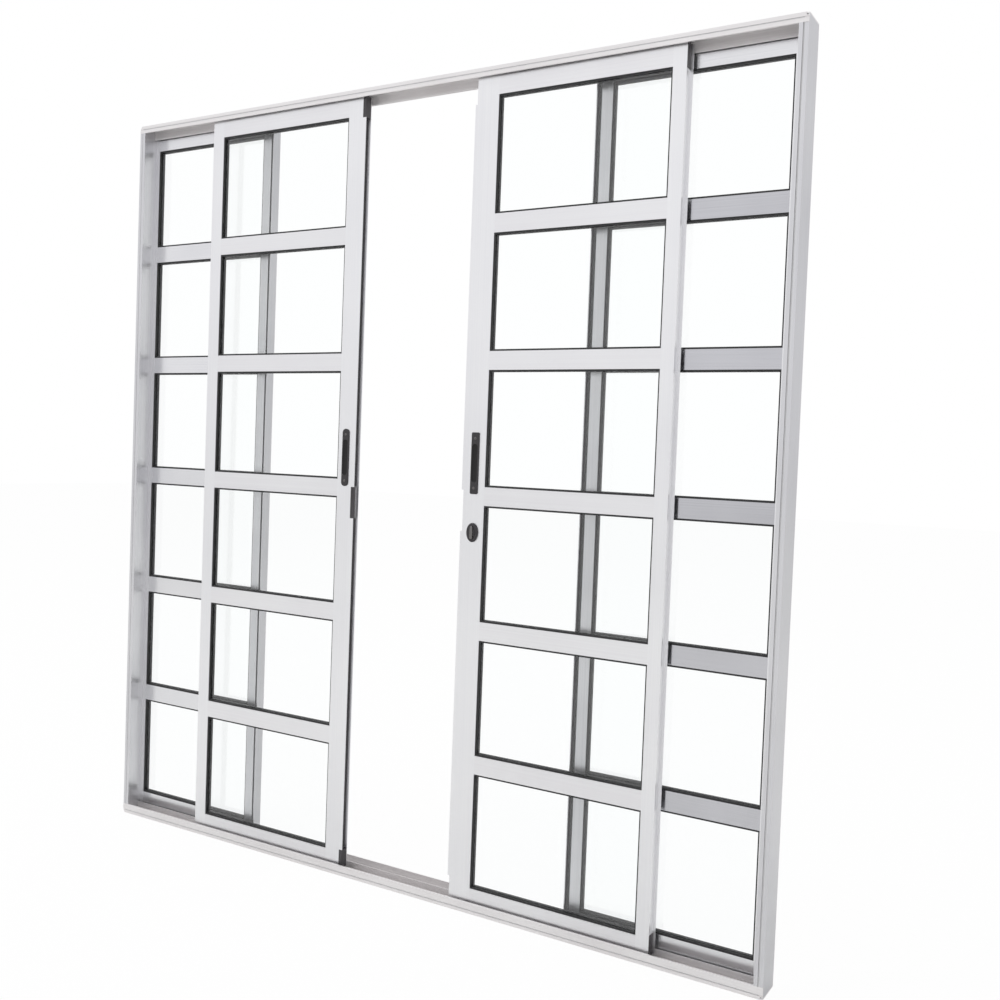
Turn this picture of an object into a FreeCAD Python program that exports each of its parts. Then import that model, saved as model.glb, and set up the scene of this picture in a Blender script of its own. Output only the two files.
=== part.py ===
import FreeCAD, Part
import os
import Sketcher

# Glass sliding patio door: an aluminium frame with two fixed glazed leaves at
# the back and two sliding glazed leaves in front of them.
# Millimetres, +X to the right as seen from the front, +Y away from the viewer,
# +Z up. The origin is the middle of the sill's underside.

doc = FreeCAD.newDocument("SlidingPatioDoor")
sheet = doc.addObject("Spreadsheet::Sheet", "Sizes")

driving_sizes = [
    ("frame_width", 2000, "outside width of the frame"),
    ("frame_height", 2100, "outside height of the frame"),
    ("frame_depth", 80, "depth of head, sill and jambs"),
    ("wall", 3, "web of the frame sections"),
    ("skin", 2, "thin walls of all the sections"),
    ("front_wall", 4, "front wall of the head, the sill and the jambs"),
    ("band_step", 1, "how far the outer band of a frame face sits back"),
    ("band_width", 12, "width of that band, the groove beside it included"),
    ("groove_width", 3, "groove between the band and the rest of the face"),
    ("groove_depth", 2.5, "depth of that groove"),
    ("corner_notch", 6, "what is cut from the corners of the front walls"),
    ("frame_face", 21, "face of the head and of the jambs"),
    ("sill_face", 28, "height of the sill's front and back walls"),
    ("sill_band", 11, "height of the sill's lower band"),
    ("middle_fin", 1.6, "thickness of the fin between the two leaf planes"),
    ("head_fin_drop", 34, "head's top to the bottom edge of its middle fin"),
    ("sill_fin_height", 28, "height of the sill's middle fin"),
    ("track_width", 3, "width of the rib that the rollers run on"),
    ("track_height", 12, "sill's underside to the top of that rib"),
    ("leaf_thickness", 23, "thickness of every leaf"),
    ("slide_front", 11, "frame's front to the sliding leaves' front"),
    ("fixed_front", 46, "frame's front to the fixed leaves' front"),
    ("slide_bottom", 18, "height of a sliding leaf's lower edge"),
    ("slide_drop", 16, "frame's top to a sliding leaf's upper edge"),
    ("overlap_left", 49, "how much the left leaf passes a quarter of the width"),
    ("overlap_right", 42, "the same for the right leaf"),
    ("left_open", 155, "frame's middle to the left leaf's meeting edge"),
    ("right_open", 190, "frame's middle to the right leaf's meeting edge"),
    ("trailing_left", 40, "face of the left leaf's stile nearest the jamb"),
    ("trailing_right", 33, "face of the right leaf's stile nearest the jamb"),
    ("meeting_left", 56, "face of the left meeting stile"),
    ("meeting_right", 61, "face of the right meeting stile"),
    ("outer_stile", 33, "fixed leaf's stile in the jamb"),
    ("inner_stile", 40, "fixed leaf's stile at the interlock"),
    ("opening_bottom", 60, "height of the bottom rail's upper edge"),
    ("opening_drop", 67, "frame's top to the top rail's lower edge"),
    ("rail_face", 46.5, "face of a cross rail"),
    ("pane_count", 6, "panes in a leaf, one above the other"),
    ("pocket", 12, "depth of a glazing pocket"),
    ("glass", 4, "thickness of the glass"),
    ("glass_set", 4.5, "leaf's front wall to the glass"),
    ("glass_hold", 8, "how far the glass reaches into a pocket"),
    ("gasket_hold", 7, "how far a gasket reaches into a pocket"),
    ("gasket_show", 3.5, "how far a gasket shows beside a stile"),
    ("gasket_rise", 4.5, "how far a gasket shows above or below a rail"),
    ("roller_radius", 11, "radius of a roller"),
    ("roller_width", 6, "width of a roller"),
    ("axle_radius", 2.5, "radius of a roller's axle"),
    ("roller_gap", 0.3, "play between a roller and its rib"),
    ("roller_inset", 70, "stile's inner edge to a roller's middle"),
    ("leg", 3, "legs of a bottom rail on either side of the rollers"),
    ("roller_room", 20, "height of the space for the rollers"),
    ("fin_reach", 7, "how far a trailing stile's fin reaches past its side"),
    ("slot_width", 10, "slot in the face of a fixed interlock stile"),
    ("slot_depth", 10, "depth of that slot"),
    ("fin_lift", 5, "how far the interlock fin stands before the leaf"),
    ("channel_depth", 10, "depth of the left meeting stile's channel"),
    ("tongue", 10, "how far the right meeting stile's tongue reaches"),
    ("tongue_width", 8, "thickness of that tongue"),
    ("cap_top", 56, "height of an upper end cap"),
    ("cap_bottom", 48, "height of a lower end cap"),
    ("cap_skin", 2, "thickness of an end cap on a stile's side"),
    ("play", 10, "room between the tongue and the parts it passes"),
    ("strike_bottom", 966, "height of the strike's lower edge"),
    ("strike_height", 84, "height of the strike"),
    ("pull_lift", 1, "strike's upper edge to a pull handle's lower end"),
    ("pull_height", 154, "length of a pull handle"),
    ("pull_width", 22, "width of a pull handle"),
    ("pull_thick", 3, "thickness of a pull handle's plate"),
    ("pull_flat", 0.9, "flat between the end radii of the left pull handle"),
    ("pull_corner", 4, "corner radius of the right pull handle"),
    ("pull_inset", 20, "left leaf's meeting edge to its pull handle"),
    ("dish_height", 95, "length of the dish in a pull handle"),
    ("dish_width", 13, "width of that dish"),
    ("dish_depth", 2, "depth of that dish"),
    ("lock_height", 48, "height of the lock's oval plate"),
    ("lock_width", 33, "width of the lock's oval plate"),
    ("lock_thick", 4, "thickness of that plate"),
    ("lock_flat", 0.9, "flat between the end radii of that plate"),
    ("lock_z", 955, "height of the lock's middle"),
    ("turn_height", 34, "length of the lock's turn piece"),
    ("turn_width", 9, "width of that turn piece"),
    ("turn_reach", 9, "how far it stands before the stile"),
]

values = {}
for row, (name, number, note) in enumerate(driving_sizes, start=1):
    sheet.set("A%d" % row, name)
    sheet.set("B%d" % row, str(number))
    sheet.set("C%d" % row, note)
    sheet.setAlias("B%d" % row, name)
    values[name] = float(number)
doc.recompute()


class Term:
    """A length known both as a number and as an expression of the sheet."""

    def __init__(self, text, number):
        self.text = text
        self.number = number

    def join(self, other, sign, number):
        return Term("(%s %s %s)" % (self.text, sign, other.text), number)

    def __add__(self, other):
        other = term(other)
        return self.join(other, "+", self.number + other.number)

    def __sub__(self, other):
        other = term(other)
        return self.join(other, "-", self.number - other.number)

    def __mul__(self, other):
        other = term(other)
        return self.join(other, "*", self.number * other.number)

    def __truediv__(self, other):
        other = term(other)
        return self.join(other, "/", self.number / other.number)

    def __radd__(self, other):
        return term(other) + self

    def __rsub__(self, other):
        return term(other) - self

    def __rmul__(self, other):
        return term(other) * self


def term(thing):
    if isinstance(thing, Term):
        return thing
    return Term("%g" % thing, float(thing))


def size(name):
    return Term("Sizes." + name, values[name])


def origin_feature(body, role):
    for feature in body.Origin.OriginFeatures:
        if feature.Role == role:
            return feature
    raise ValueError(role)


def new_body(label, x, y, z):
    """A body whose own corner stands at x, y, z, measured from the frame's
    left side, its front and its underside."""
    body = doc.addObject("PartDesign::Body", label)
    body.Label = label
    body.AllowCompound = True
    place = [
        ("x", term(x) - size("frame_width") / 2),
        ("y", term(y) - size("frame_depth") / 2),
        ("z", term(z)),
    ]
    for axis, value in place:
        body.setExpression(".Placement.Base." + axis, value.text)
    return body


def pin(sketch, geometry, end, across, up):
    """Holds one corner of a sketch at its two coordinates."""
    sides = [(across, "DistanceX", -2), (up, "DistanceY", -1)]
    for value, kind, axis in sides:
        if abs(value.number) < 1e-9:
            sketch.addConstraint(
                Sketcher.Constraint("PointOnObject", geometry, end, axis))
            continue
        index = sketch.addConstraint(
            Sketcher.Constraint(kind, -1, 1, geometry, end, value.number))
        sketch.setExpression("Constraints[%d]" % index, value.text)


def new_sketch(body, name, plane, offset=None):
    sketch = body.newObject("Sketcher::SketchObject", name)
    sketch.AttachmentSupport = [(origin_feature(body, plane), "")]
    sketch.MapMode = "FlatFace"
    if offset is not None:
        sketch.setExpression(".AttachmentOffset.Base.z", term(offset).text)
    return sketch


def outline(sketch, corners):
    """A closed outline through the corners, each held by two dimensions."""
    corners = [(term(across), term(up)) for across, up in corners]
    first = sketch.GeometryCount
    count = len(corners)
    for index in range(count):
        start = corners[index]
        finish = corners[(index + 1) % count]
        sketch.addGeometry(Part.LineSegment(
            FreeCAD.Vector(start[0].number, start[1].number, 0),
            FreeCAD.Vector(finish[0].number, finish[1].number, 0)), False)
    for index in range(count):
        following = first + (index + 1) % count
        sketch.addConstraint(
            Sketcher.Constraint("Coincident", first + index, 2, following, 1))
    for index in range(count):
        pin(sketch, first + index, 1, corners[index][0], corners[index][1])


def box_outline(sketch, left, low, right, high):
    outline(sketch, [(left, low), (right, low), (right, high), (left, high)])


def circle(sketch, across, up, radius):
    across, up, radius = term(across), term(up), term(radius)
    index = sketch.addGeometry(Part.Circle(
        FreeCAD.Vector(across.number, up.number, 0),
        FreeCAD.Vector(0, 0, 1), radius.number), False)
    held = sketch.addConstraint(
        Sketcher.Constraint("Radius", index, radius.number))
    sketch.setExpression("Constraints[%d]" % held, radius.text)
    pin(sketch, index, 3, across, up)


def pad(body, sketch, name, length, back=False):
    feature = body.newObject("PartDesign::Pad", name)
    feature.Profile = sketch
    feature.setExpression("Length", term(length).text)
    feature.Reversed = back
    body.Tip = feature
    return feature


def pocket(body, sketch, name, length, back=False):
    """A cut that is known to take something off the body."""
    doc.recompute()
    before = body.Shape.Volume
    feature = body.newObject("PartDesign::Pocket", name)
    feature.Profile = sketch
    feature.setExpression("Length", term(length).text)
    feature.Reversed = back
    body.Tip = feature
    doc.recompute()
    if body.Shape.Volume > before - 1:
        raise RuntimeError(body.Label + ": " + name + " cuts nothing")
    return feature


def round_corners(body, name, radius):
    """Rounds the edges that run along Y, the corners of a plate."""
    doc.recompute()
    base = body.Tip
    edges = []
    for number, edge in enumerate(base.Shape.Edges, start=1):
        start, finish = edge.Vertexes[0].Point, edge.Vertexes[-1].Point
        along = abs(finish.y - start.y)
        if along > 0.5 and abs(along - edge.Length) < 1e-6:
            edges.append("Edge%d" % number)
    feature = body.newObject("PartDesign::Fillet", name)
    feature.Base = (base, edges)
    feature.setExpression("Radius", term(radius).text)
    body.Tip = feature
    return feature


def stack(body, originals, name, direction, length, count):
    """The same feature again at even steps along one of the body's axes."""
    feature = body.newObject("PartDesign::LinearPattern", name)
    feature.Originals = originals
    feature.Direction = (origin_feature(body, direction), [""])
    feature.setExpression("Length", term(length).text)
    feature.setExpression("Occurrences", term(count).text)
    body.Tip = feature
    return feature


def flip(outline_corners, width):
    """The same corners mirrored left to right within a width."""
    return [(width - term(across), up) for across, up in outline_corners]


# Names for the sizes used again and again.
width = size("frame_width")
height = size("frame_height")
depth = size("frame_depth")
wall = size("wall")
skin = size("skin")
front_wall = size("front_wall")
groove = size("groove_width")
cut = size("groove_depth")
step = size("band_step")
band = size("band_width")
face = size("frame_face")
thick = size("leaf_thickness")
pocket_depth = size("pocket")
slide_front = size("slide_front")
fixed_front = size("fixed_front")
fin = size("middle_fin")
fin_front = (slide_front + thick + fixed_front) / 2 - fin / 2
low = size("opening_bottom")
high = height - size("opening_drop")
rail = size("rail_face")
count = size("pane_count")
pane_height = (high - low - (count - 1) * rail) / count
pitch = pane_height + rail
quarter = width / 4
leaf = {
    "left": quarter + size("overlap_left"),
    "right": quarter + size("overlap_right"),
}

# Head: a channel open downwards, with a fin between the two leaf planes.
head_room = size("head_fin_drop")
body = new_body("head", 0, 0, height - head_room)
sketch = new_sketch(body, "head_section", "YZ_Plane")
under = head_room - wall
lip = head_room - face
edge = head_room - band
outline(sketch, [
    (0, lip),
    (front_wall, lip),
    (front_wall, under),
    (depth - skin, under),
    (depth - skin, lip),
    (depth, lip),
    (depth, head_room),
    (step, head_room),
    (step, edge + groove),
    (cut, edge + groove),
    (cut, edge),
    (0, edge),
])
pad(body, sketch, "head_channel", width)
sketch = new_sketch(body, "head_fin_section", "YZ_Plane", face)
box_outline(sketch, fin_front, 0, fin_front + fin, under)
pad(body, sketch, "head_fin", width - face * 2)
notch = size("corner_notch")
sketch = new_sketch(body, "head_notches", "XZ_Plane")
box_outline(sketch, 0, head_room - notch, notch, head_room)
box_outline(sketch, width - notch, head_room - notch, width, head_room)
pocket(body, sketch, "head_notch", front_wall)

# Sill: a channel open upwards, with a rib for the rollers and a middle fin.
sill_face = size("sill_face")
sill_band = size("sill_band")
rib = size("track_width")
rib_front = slide_front + thick / 2 - rib / 2
rib_top = size("track_height")
fin_top = size("sill_fin_height")
body = new_body("sill", 0, 0, 0)
sketch = new_sketch(body, "sill_section", "YZ_Plane")
outline(sketch, [
    (step, 0),
    (depth, 0),
    (depth, sill_face),
    (depth - skin, sill_face),
    (depth - skin, wall),
    (front_wall, wall),
    (front_wall, sill_face),
    (0, sill_face),
    (0, sill_band),
    (cut, sill_band),
    (cut, sill_band - groove),
    (step, sill_band - groove),
])
pad(body, sketch, "sill_channel", width)
sketch = new_sketch(body, "sill_rib_section", "YZ_Plane", face)
box_outline(sketch, rib_front, wall, rib_front + rib, rib_top)
box_outline(sketch, fin_front, wall, fin_front + fin, fin_top)
pad(body, sketch, "sill_rib_and_fin", width - face * 2)
sketch = new_sketch(body, "sill_notches", "XZ_Plane")
box_outline(sketch, 0, 0, notch, notch)
box_outline(sketch, width - notch, 0, width, notch)
pocket(body, sketch, "sill_notch", front_wall)

# Jambs: a box section in front, a web behind it that holds the fixed leaf.
# They stand between the webs of the sill and the head, and their walls are cut
# back where the walls of those two pass them.
jamb_tall = height - wall * 2
jamb_corners = [
    (0, step),
    (band - groove, step),
    (band - groove, cut),
    (band, cut),
    (band, 0),
    (face, 0),
    (face, fixed_front),
    (wall, fixed_front),
    (wall, depth - skin),
    (face, depth - skin),
    (face, depth),
    (0, depth),
]
jamb_hollow = [
    (wall, front_wall),
    (face - skin, front_wall),
    (face - skin, fixed_front - skin),
    (wall, fixed_front - skin),
]
for side in ("left", "right"):
    x = term(0)
    corners, hollow = jamb_corners, jamb_hollow
    if side == "right":
        x = width - face
        corners, hollow = flip(corners, face), flip(hollow, face)
    body = new_body(side + "_jamb", x, 0, wall)
    sketch = new_sketch(body, side + "_jamb_section", "XY_Plane")
    outline(sketch, corners)
    outline(sketch, hollow)
    pad(body, sketch, side + "_jamb_length", jamb_tall)
    for place, at, deep in (("front", 0, front_wall),
                            ("back", depth - skin, skin)):
        sketch = new_sketch(body, side + "_jamb_" + place + "_ends",
                            "XZ_Plane", 0 - term(at))
        box_outline(sketch, 0, 0, face, sill_face - wall)
        box_outline(sketch, 0, jamb_tall - (face - wall), face, jamb_tall)
        pocket(body, sketch, side + "_jamb_" + place + "_cut", deep)


def glazed_stile(face_width, flipped=False):
    """Corners of a stile whose glazing pocket opens to the right."""
    corners = [
        (0, 0),
        (face_width, 0),
        (face_width, skin),
        (face_width - pocket_depth, skin),
        (face_width - pocket_depth, thick - skin),
        (face_width, thick - skin),
        (face_width, thick),
        (0, thick),
    ]
    hollow = [
        (skin, skin),
        (face_width - pocket_depth - skin, skin),
        (face_width - pocket_depth - skin, thick - skin),
        (skin, thick - skin),
    ]
    if flipped:
        return flip(corners, face_width), flip(hollow, face_width)
    return corners, hollow


def panes(prefix, left, front, pane_width):
    """The glass and the gaskets of one leaf."""
    hold = size("glass_hold")
    body = new_body(
        prefix + "_glass", left - hold,
        front + skin + size("glass_set"), low - hold)
    sketch = new_sketch(body, prefix + "_pane_outline", "XZ_Plane")
    box_outline(sketch, 0, 0, pane_width + hold * 2, pane_height + hold * 2)
    pane = pad(body, sketch, prefix + "_pane", size("glass"), back=True)
    stack(body, [pane], prefix + "_panes", "Z_Axis",
          pitch * (count - 1), count)

    hold = size("gasket_hold")
    show = size("gasket_show")
    rise = size("gasket_rise")
    before = size("glass_set")
    behind = thick - skin * 2 - size("glass") - before
    body = new_body(prefix + "_gaskets", left - hold, front + skin, low - hold)
    rings = []
    for place, offset, gasket_thick in (
            ("front", 0, before),
            ("back", before + size("glass"), behind)):
        # The plane of these outlines faces the viewer, so back is negative.
        sketch = new_sketch(
            body, prefix + "_" + place + "_gasket_outline", "XZ_Plane",
            0 - term(offset))
        box_outline(sketch, 0, 0,
                    pane_width + hold * 2, pane_height + hold * 2)
        box_outline(sketch, hold + show, hold + rise,
                    pane_width + hold - show, pane_height + hold - rise)
        ring = pad(body, sketch, prefix + "_" + place + "_gasket",
                   gasket_thick, back=True)
        rings.append(ring)
    stack(body, rings, prefix + "_gasket_sets", "Z_Axis",
          pitch * (count - 1), count)


def cross_rails(prefix, left, front, pane_width):
    """The rails between the panes of one leaf, all in one body."""
    body = new_body(
        prefix + "_cross_rails", left, front, low + pane_height)
    sketch = new_sketch(body, prefix + "_cross_rail_section", "YZ_Plane")
    outline(sketch, [
        (0, 0),
        (skin, 0),
        (skin, pocket_depth),
        (thick - skin, pocket_depth),
        (thick - skin, 0),
        (thick, 0),
        (thick, rail),
        (thick - skin, rail),
        (thick - skin, rail - pocket_depth),
        (skin, rail - pocket_depth),
        (skin, rail),
        (0, rail),
    ])
    box_outline(sketch, skin, pocket_depth + skin,
                thick - skin, rail - pocket_depth - skin)
    bar = pad(body, sketch, prefix + "_cross_rail", pane_width)
    stack(body, [bar], prefix + "_cross_rail_rows", "Z_Axis",
          pitch * (count - 2), count - 1)


def top_rail(prefix, left, front, pane_width, top):
    tall = top - high
    body = new_body(prefix + "_top_rail", left, front, high)
    sketch = new_sketch(body, prefix + "_top_rail_section", "YZ_Plane")
    outline(sketch, [
        (0, 0),
        (skin, 0),
        (skin, pocket_depth),
        (thick - skin, pocket_depth),
        (thick - skin, 0),
        (thick, 0),
        (thick, tall),
        (0, tall),
    ])
    box_outline(sketch, skin, pocket_depth + skin, thick - skin, tall - skin)
    pad(body, sketch, prefix + "_top_rail_length", pane_width)


# Fixed leaves: seated in the head and the sill, behind the jambs' boxes.
fixed = quarter - wall
outer = size("outer_stile")
inner = size("inner_stile")
fixed_pane = fixed - outer - inner
fixed_top = height - wall
slot_wide = size("slot_width")
slot_deep = size("slot_depth")
lift = size("fin_lift")
for side in ("left", "right"):
    prefix = side + "_fixed"
    mirrored = side == "right"
    start = wall
    outer_x = start
    inner_x = start + fixed - inner
    pane_x = start + outer
    if mirrored:
        start = width - wall - fixed
        outer_x = start + fixed - outer
        inner_x = start
        pane_x = start + inner

    body = new_body(prefix + "_outer_stile", outer_x, fixed_front, wall)
    sketch = new_sketch(body, prefix + "_outer_section", "XY_Plane")
    corners, hollow = glazed_stile(outer, mirrored)
    outline(sketch, corners)
    outline(sketch, hollow)
    pad(body, sketch, prefix + "_outer_length", fixed_top - wall)

    # The interlock stile: a slot in its face, closed off by a thin fin that
    # stands a little before the leaf.
    body = new_body(prefix + "_inner_stile", inner_x, fixed_front - lift, wall)
    sketch = new_sketch(body, prefix + "_inner_section", "XY_Plane")
    corners = [
        (0, lift),
        (inner - skin - slot_wide, lift),
        (inner - skin - slot_wide, lift + slot_deep),
        (inner - skin, lift + slot_deep),
        (inner - skin, 0),
        (inner, 0),
        (inner, lift + thick),
        (0, lift + thick),
        (0, lift + thick - skin),
        (pocket_depth, lift + thick - skin),
        (pocket_depth, lift + skin),
        (0, lift + skin),
    ]
    hollow = [
        (pocket_depth + skin, lift + skin),
        (inner - skin * 2 - slot_wide, lift + skin),
        (inner - skin * 2 - slot_wide, lift + slot_deep + skin),
        (inner - skin, lift + slot_deep + skin),
        (inner - skin, lift + thick - skin),
        (pocket_depth + skin, lift + thick - skin),
    ]
    if mirrored:
        corners, hollow = flip(corners, inner), flip(hollow, inner)
    outline(sketch, corners)
    outline(sketch, hollow)
    pad(body, sketch, prefix + "_inner_length", fixed_top - wall)

    top_rail(prefix, pane_x, fixed_front, fixed_pane, fixed_top)
    tall = low - wall
    body = new_body(prefix + "_bottom_rail", pane_x, fixed_front, wall)
    sketch = new_sketch(body, prefix + "_bottom_rail_section", "YZ_Plane")
    outline(sketch, [
        (0, 0),
        (thick, 0),
        (thick, tall),
        (thick - skin, tall),
        (thick - skin, tall - pocket_depth),
        (skin, tall - pocket_depth),
        (skin, tall),
        (0, tall),
    ])
    box_outline(sketch, skin, skin, thick - skin, tall - pocket_depth - skin)
    pad(body, sketch, prefix + "_bottom_rail_length", fixed_pane)
    cross_rails(prefix, pane_x, fixed_front, fixed_pane)
    panes(prefix, pane_x, fixed_front, fixed_pane)


# Sliding leaves.
slide_low = size("slide_bottom")
slide_high = height - size("slide_drop")
slide_tall = slide_high - slide_low
cap_top = size("cap_top")
cap_bottom = size("cap_bottom")
strike_low = size("strike_bottom")
strike_tall = size("strike_height")
channel = size("channel_depth")
reach = size("fin_reach")
leaf_start = {
    "left": width / 2 - size("left_open") - leaf["left"],
    "right": width / 2 + size("right_open"),
}
for side in ("left", "right"):
    prefix = side + "_slide"
    mirrored = side == "right"
    meeting = size("meeting_" + side)
    trail = size("trailing_" + side)
    start = leaf_start[side]
    finish = start + leaf[side]
    pane_width = leaf[side] - trail - meeting
    trail_x = start
    meet_x = finish - meeting
    pane_x = start + trail
    if mirrored:
        trail_x = finish - trail
        meet_x = start
        pane_x = start + meeting

    # Trailing stile, with a fin at its back that reaches past its side.
    body_x = trail_x
    if not mirrored:
        body_x = trail_x - reach
    body = new_body(prefix + "_trailing_stile", body_x, slide_front, slide_low)
    sketch = new_sketch(body, prefix + "_trailing_section", "XY_Plane")
    whole = trail + reach
    corners = [
        (reach, 0),
        (whole, 0),
        (whole, skin),
        (whole - pocket_depth, skin),
        (whole - pocket_depth, thick - skin),
        (whole, thick - skin),
        (whole, thick),
        (0, thick),
        (0, thick - skin),
        (reach, thick - skin),
    ]
    hollow = [
        (reach + skin, skin),
        (whole - pocket_depth - skin, skin),
        (whole - pocket_depth - skin, thick - skin),
        (reach + skin, thick - skin),
    ]
    if mirrored:
        corners, hollow = flip(corners, whole), flip(hollow, whole)
    outline(sketch, corners)
    outline(sketch, hollow)
    pad(body, sketch, prefix + "_trailing_length", slide_tall)

    # Meeting stile: the left one ends in a channel, the right one in a tongue.
    if side == "left":
        body = new_body(prefix + "_meeting_stile", meet_x, slide_front,
                        slide_low)
        sketch = new_sketch(body, prefix + "_meeting_section", "XY_Plane")
        web = meeting - channel
        outline(sketch, [
            (0, 0),
            (meeting, 0),
            (meeting, skin),
            (web, skin),
            (web, thick - skin),
            (meeting, thick - skin),
            (meeting, thick),
            (0, thick),
            (0, thick - skin),
            (pocket_depth, thick - skin),
            (pocket_depth, skin),
            (0, skin),
        ])
        box_outline(sketch, pocket_depth + skin, skin,
                    web - skin, thick - skin)
        pad(body, sketch, prefix + "_meeting_length", slide_tall)
        # Notches in the channel's front wall, for the two caps and the strike.
        sketch = new_sketch(body, prefix + "_notches", "XZ_Plane")
        box_outline(sketch, web, 0, meeting, cap_bottom)
        box_outline(sketch, web, strike_low - slide_low,
                    meeting, strike_low - slide_low + strike_tall)
        box_outline(sketch, web, slide_tall - cap_top, meeting, slide_tall)
        pocket(body, sketch, prefix + "_notch", skin)
    else:
        tongue = size("tongue")
        tongue_wide = size("tongue_width")
        whole = meeting + tongue
        body = new_body(prefix + "_meeting_stile", meet_x - tongue,
                        slide_front, slide_low)
        sketch = new_sketch(body, prefix + "_meeting_section", "XY_Plane")
        corners, hollow = glazed_stile(meeting)
        outline(sketch, [(term(across) + tongue, up)
                         for across, up in corners])
        outline(sketch, [(term(across) + tongue, up)
                         for across, up in hollow])
        pad(body, sketch, prefix + "_meeting_length", slide_tall)
        # The tongue stops short of the caps and of the strike.
        play = size("play")
        sketch = new_sketch(body, prefix + "_tongue_outline", "XZ_Plane",
                            0 - (thick - tongue_wide) / 2)
        box_outline(sketch, 0, cap_bottom + play, tongue,
                    strike_low - slide_low - play)
        box_outline(sketch, 0, strike_low - slide_low + strike_tall + play,
                    tongue, slide_tall - cap_top - play)
        pad(body, sketch, prefix + "_tongue", tongue_wide, back=True)

    top_rail(prefix, pane_x, slide_front, pane_width, slide_high)
    tall = low - slide_low
    leg = size("leg")
    room = size("roller_room")
    body = new_body(prefix + "_bottom_rail", pane_x, slide_front, slide_low)
    sketch = new_sketch(body, prefix + "_bottom_rail_section", "YZ_Plane")
    outline(sketch, [
        (0, 0),
        (leg, 0),
        (leg, room),
        (thick - leg, room),
        (thick - leg, 0),
        (thick, 0),
        (thick, tall),
        (thick - skin, tall),
        (thick - skin, tall - pocket_depth),
        (skin, tall - pocket_depth),
        (skin, tall),
        (0, tall),
    ])
    pad(body, sketch, prefix + "_bottom_rail_length", pane_width)
    cross_rails(prefix, pane_x, slide_front, pane_width)
    panes(prefix, pane_x, slide_front, pane_width)

    # Rollers: two wheels on axles between the legs of the bottom rail.
    radius = size("roller_radius")
    wide = size("roller_width")
    inset = size("roller_inset")
    body = new_body(prefix + "_rollers", pane_x, slide_front + leg,
                    rib_top + size("roller_gap"))
    room_wide = thick - leg * 2
    sketch = new_sketch(body, prefix + "_wheel_outline", "XZ_Plane",
                        0 - (room_wide - wide) / 2)
    circle(sketch, inset, radius, radius)
    circle(sketch, pane_width - inset, radius, radius)
    pad(body, sketch, prefix + "_wheel", wide, back=True)
    sketch = new_sketch(body, prefix + "_axle_outline", "XZ_Plane")
    circle(sketch, inset, radius, size("axle_radius"))
    circle(sketch, pane_width - inset, radius, size("axle_radius"))
    pad(body, sketch, prefix + "_axle", room_wide, back=True)

    # End caps.
    if side == "left":
        body = new_body(prefix + "_end_caps", finish - channel,
                        slide_front, slide_low)
        sketch = new_sketch(body, prefix + "_cap_outline", "XZ_Plane")
        box_outline(sketch, 0, 0, channel, cap_bottom)
        box_outline(sketch, 0, slide_tall - cap_top, channel, slide_tall)
        pad(body, sketch, prefix + "_cap", thick - skin, back=True)
    else:
        body = new_body(prefix + "_end_caps", finish, slide_front,
                        slide_low)
        sketch = new_sketch(body, prefix + "_cap_outline", "XZ_Plane")
        cap_skin = size("cap_skin")
        box_outline(sketch, 0, 0, cap_skin, cap_bottom)
        box_outline(sketch, 0, slide_tall - cap_top, cap_skin, slide_tall)
        pad(body, sketch, prefix + "_cap", thick - skin, back=True)

    # Pull handle: a plate with round ends and a dish in its middle.
    pull_tall = size("pull_height")
    pull_wide = size("pull_width")
    pull_thick = size("pull_thick")
    pull_x = finish - size("pull_inset") - pull_wide
    if side == "right":
        pull_x = start + meeting / 2 - pull_wide / 2
    body = new_body(prefix + "_pull_handle", pull_x,
                    slide_front - pull_thick,
                    strike_low + strike_tall + size("pull_lift"))
    sketch = new_sketch(body, prefix + "_pull_outline", "XZ_Plane")
    box_outline(sketch, 0, 0, pull_wide, pull_tall)
    pad(body, sketch, prefix + "_pull_plate", pull_thick, back=True)
    rounding = (pull_wide - size("pull_flat")) / 2
    if side == "right":
        rounding = size("pull_corner")
    round_corners(body, prefix + "_pull_ends", rounding)
    sketch = new_sketch(body, prefix + "_pull_dish_outline", "XZ_Plane")
    dish_tall = size("dish_height")
    dish_wide = size("dish_width")
    box_outline(sketch, (pull_wide - dish_wide) / 2,
                (pull_tall - dish_tall) / 2,
                (pull_wide + dish_wide) / 2, (pull_tall + dish_tall) / 2)
    pocket(body, sketch, prefix + "_pull_dish", size("dish_depth"))

# Strike in the left meeting stile's channel.
body = new_body("left_slide_strike", width / 2 - size("left_open") - channel,
                slide_front, strike_low)
sketch = new_sketch(body, "strike_outline", "XZ_Plane")
box_outline(sketch, 0, 0, channel, strike_tall)
pad(body, sketch, "strike_block", thick - skin, back=True)

# Lock on the right meeting stile: an oval plate with an upright turn piece.
lock_tall = size("lock_height")
lock_wide = size("lock_width")
lock_thick = size("lock_thick")
turn_reach = size("turn_reach")
lock_x = leaf_start["right"] + size("meeting_right") / 2 - lock_wide / 2
body = new_body("right_slide_lock", lock_x, slide_front - turn_reach,
                size("lock_z") - lock_tall / 2)
sketch = new_sketch(body, "lock_plate_outline", "XZ_Plane",
                    lock_thick - turn_reach)
box_outline(sketch, 0, 0, lock_wide, lock_tall)
pad(body, sketch, "lock_plate", lock_thick, back=True)
round_corners(body, "lock_plate_ends", (lock_wide - size("lock_flat")) / 2)
sketch = new_sketch(body, "lock_turn_outline", "XZ_Plane")
turn_tall = size("turn_height")
turn_wide = size("turn_width")
box_outline(sketch, (lock_wide - turn_wide) / 2, (lock_tall - turn_tall) / 2,
            (lock_wide + turn_wide) / 2, (lock_tall + turn_tall) / 2)
pad(body, sketch, "lock_turn", turn_reach - lock_thick, back=True)

doc.recompute()

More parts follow.
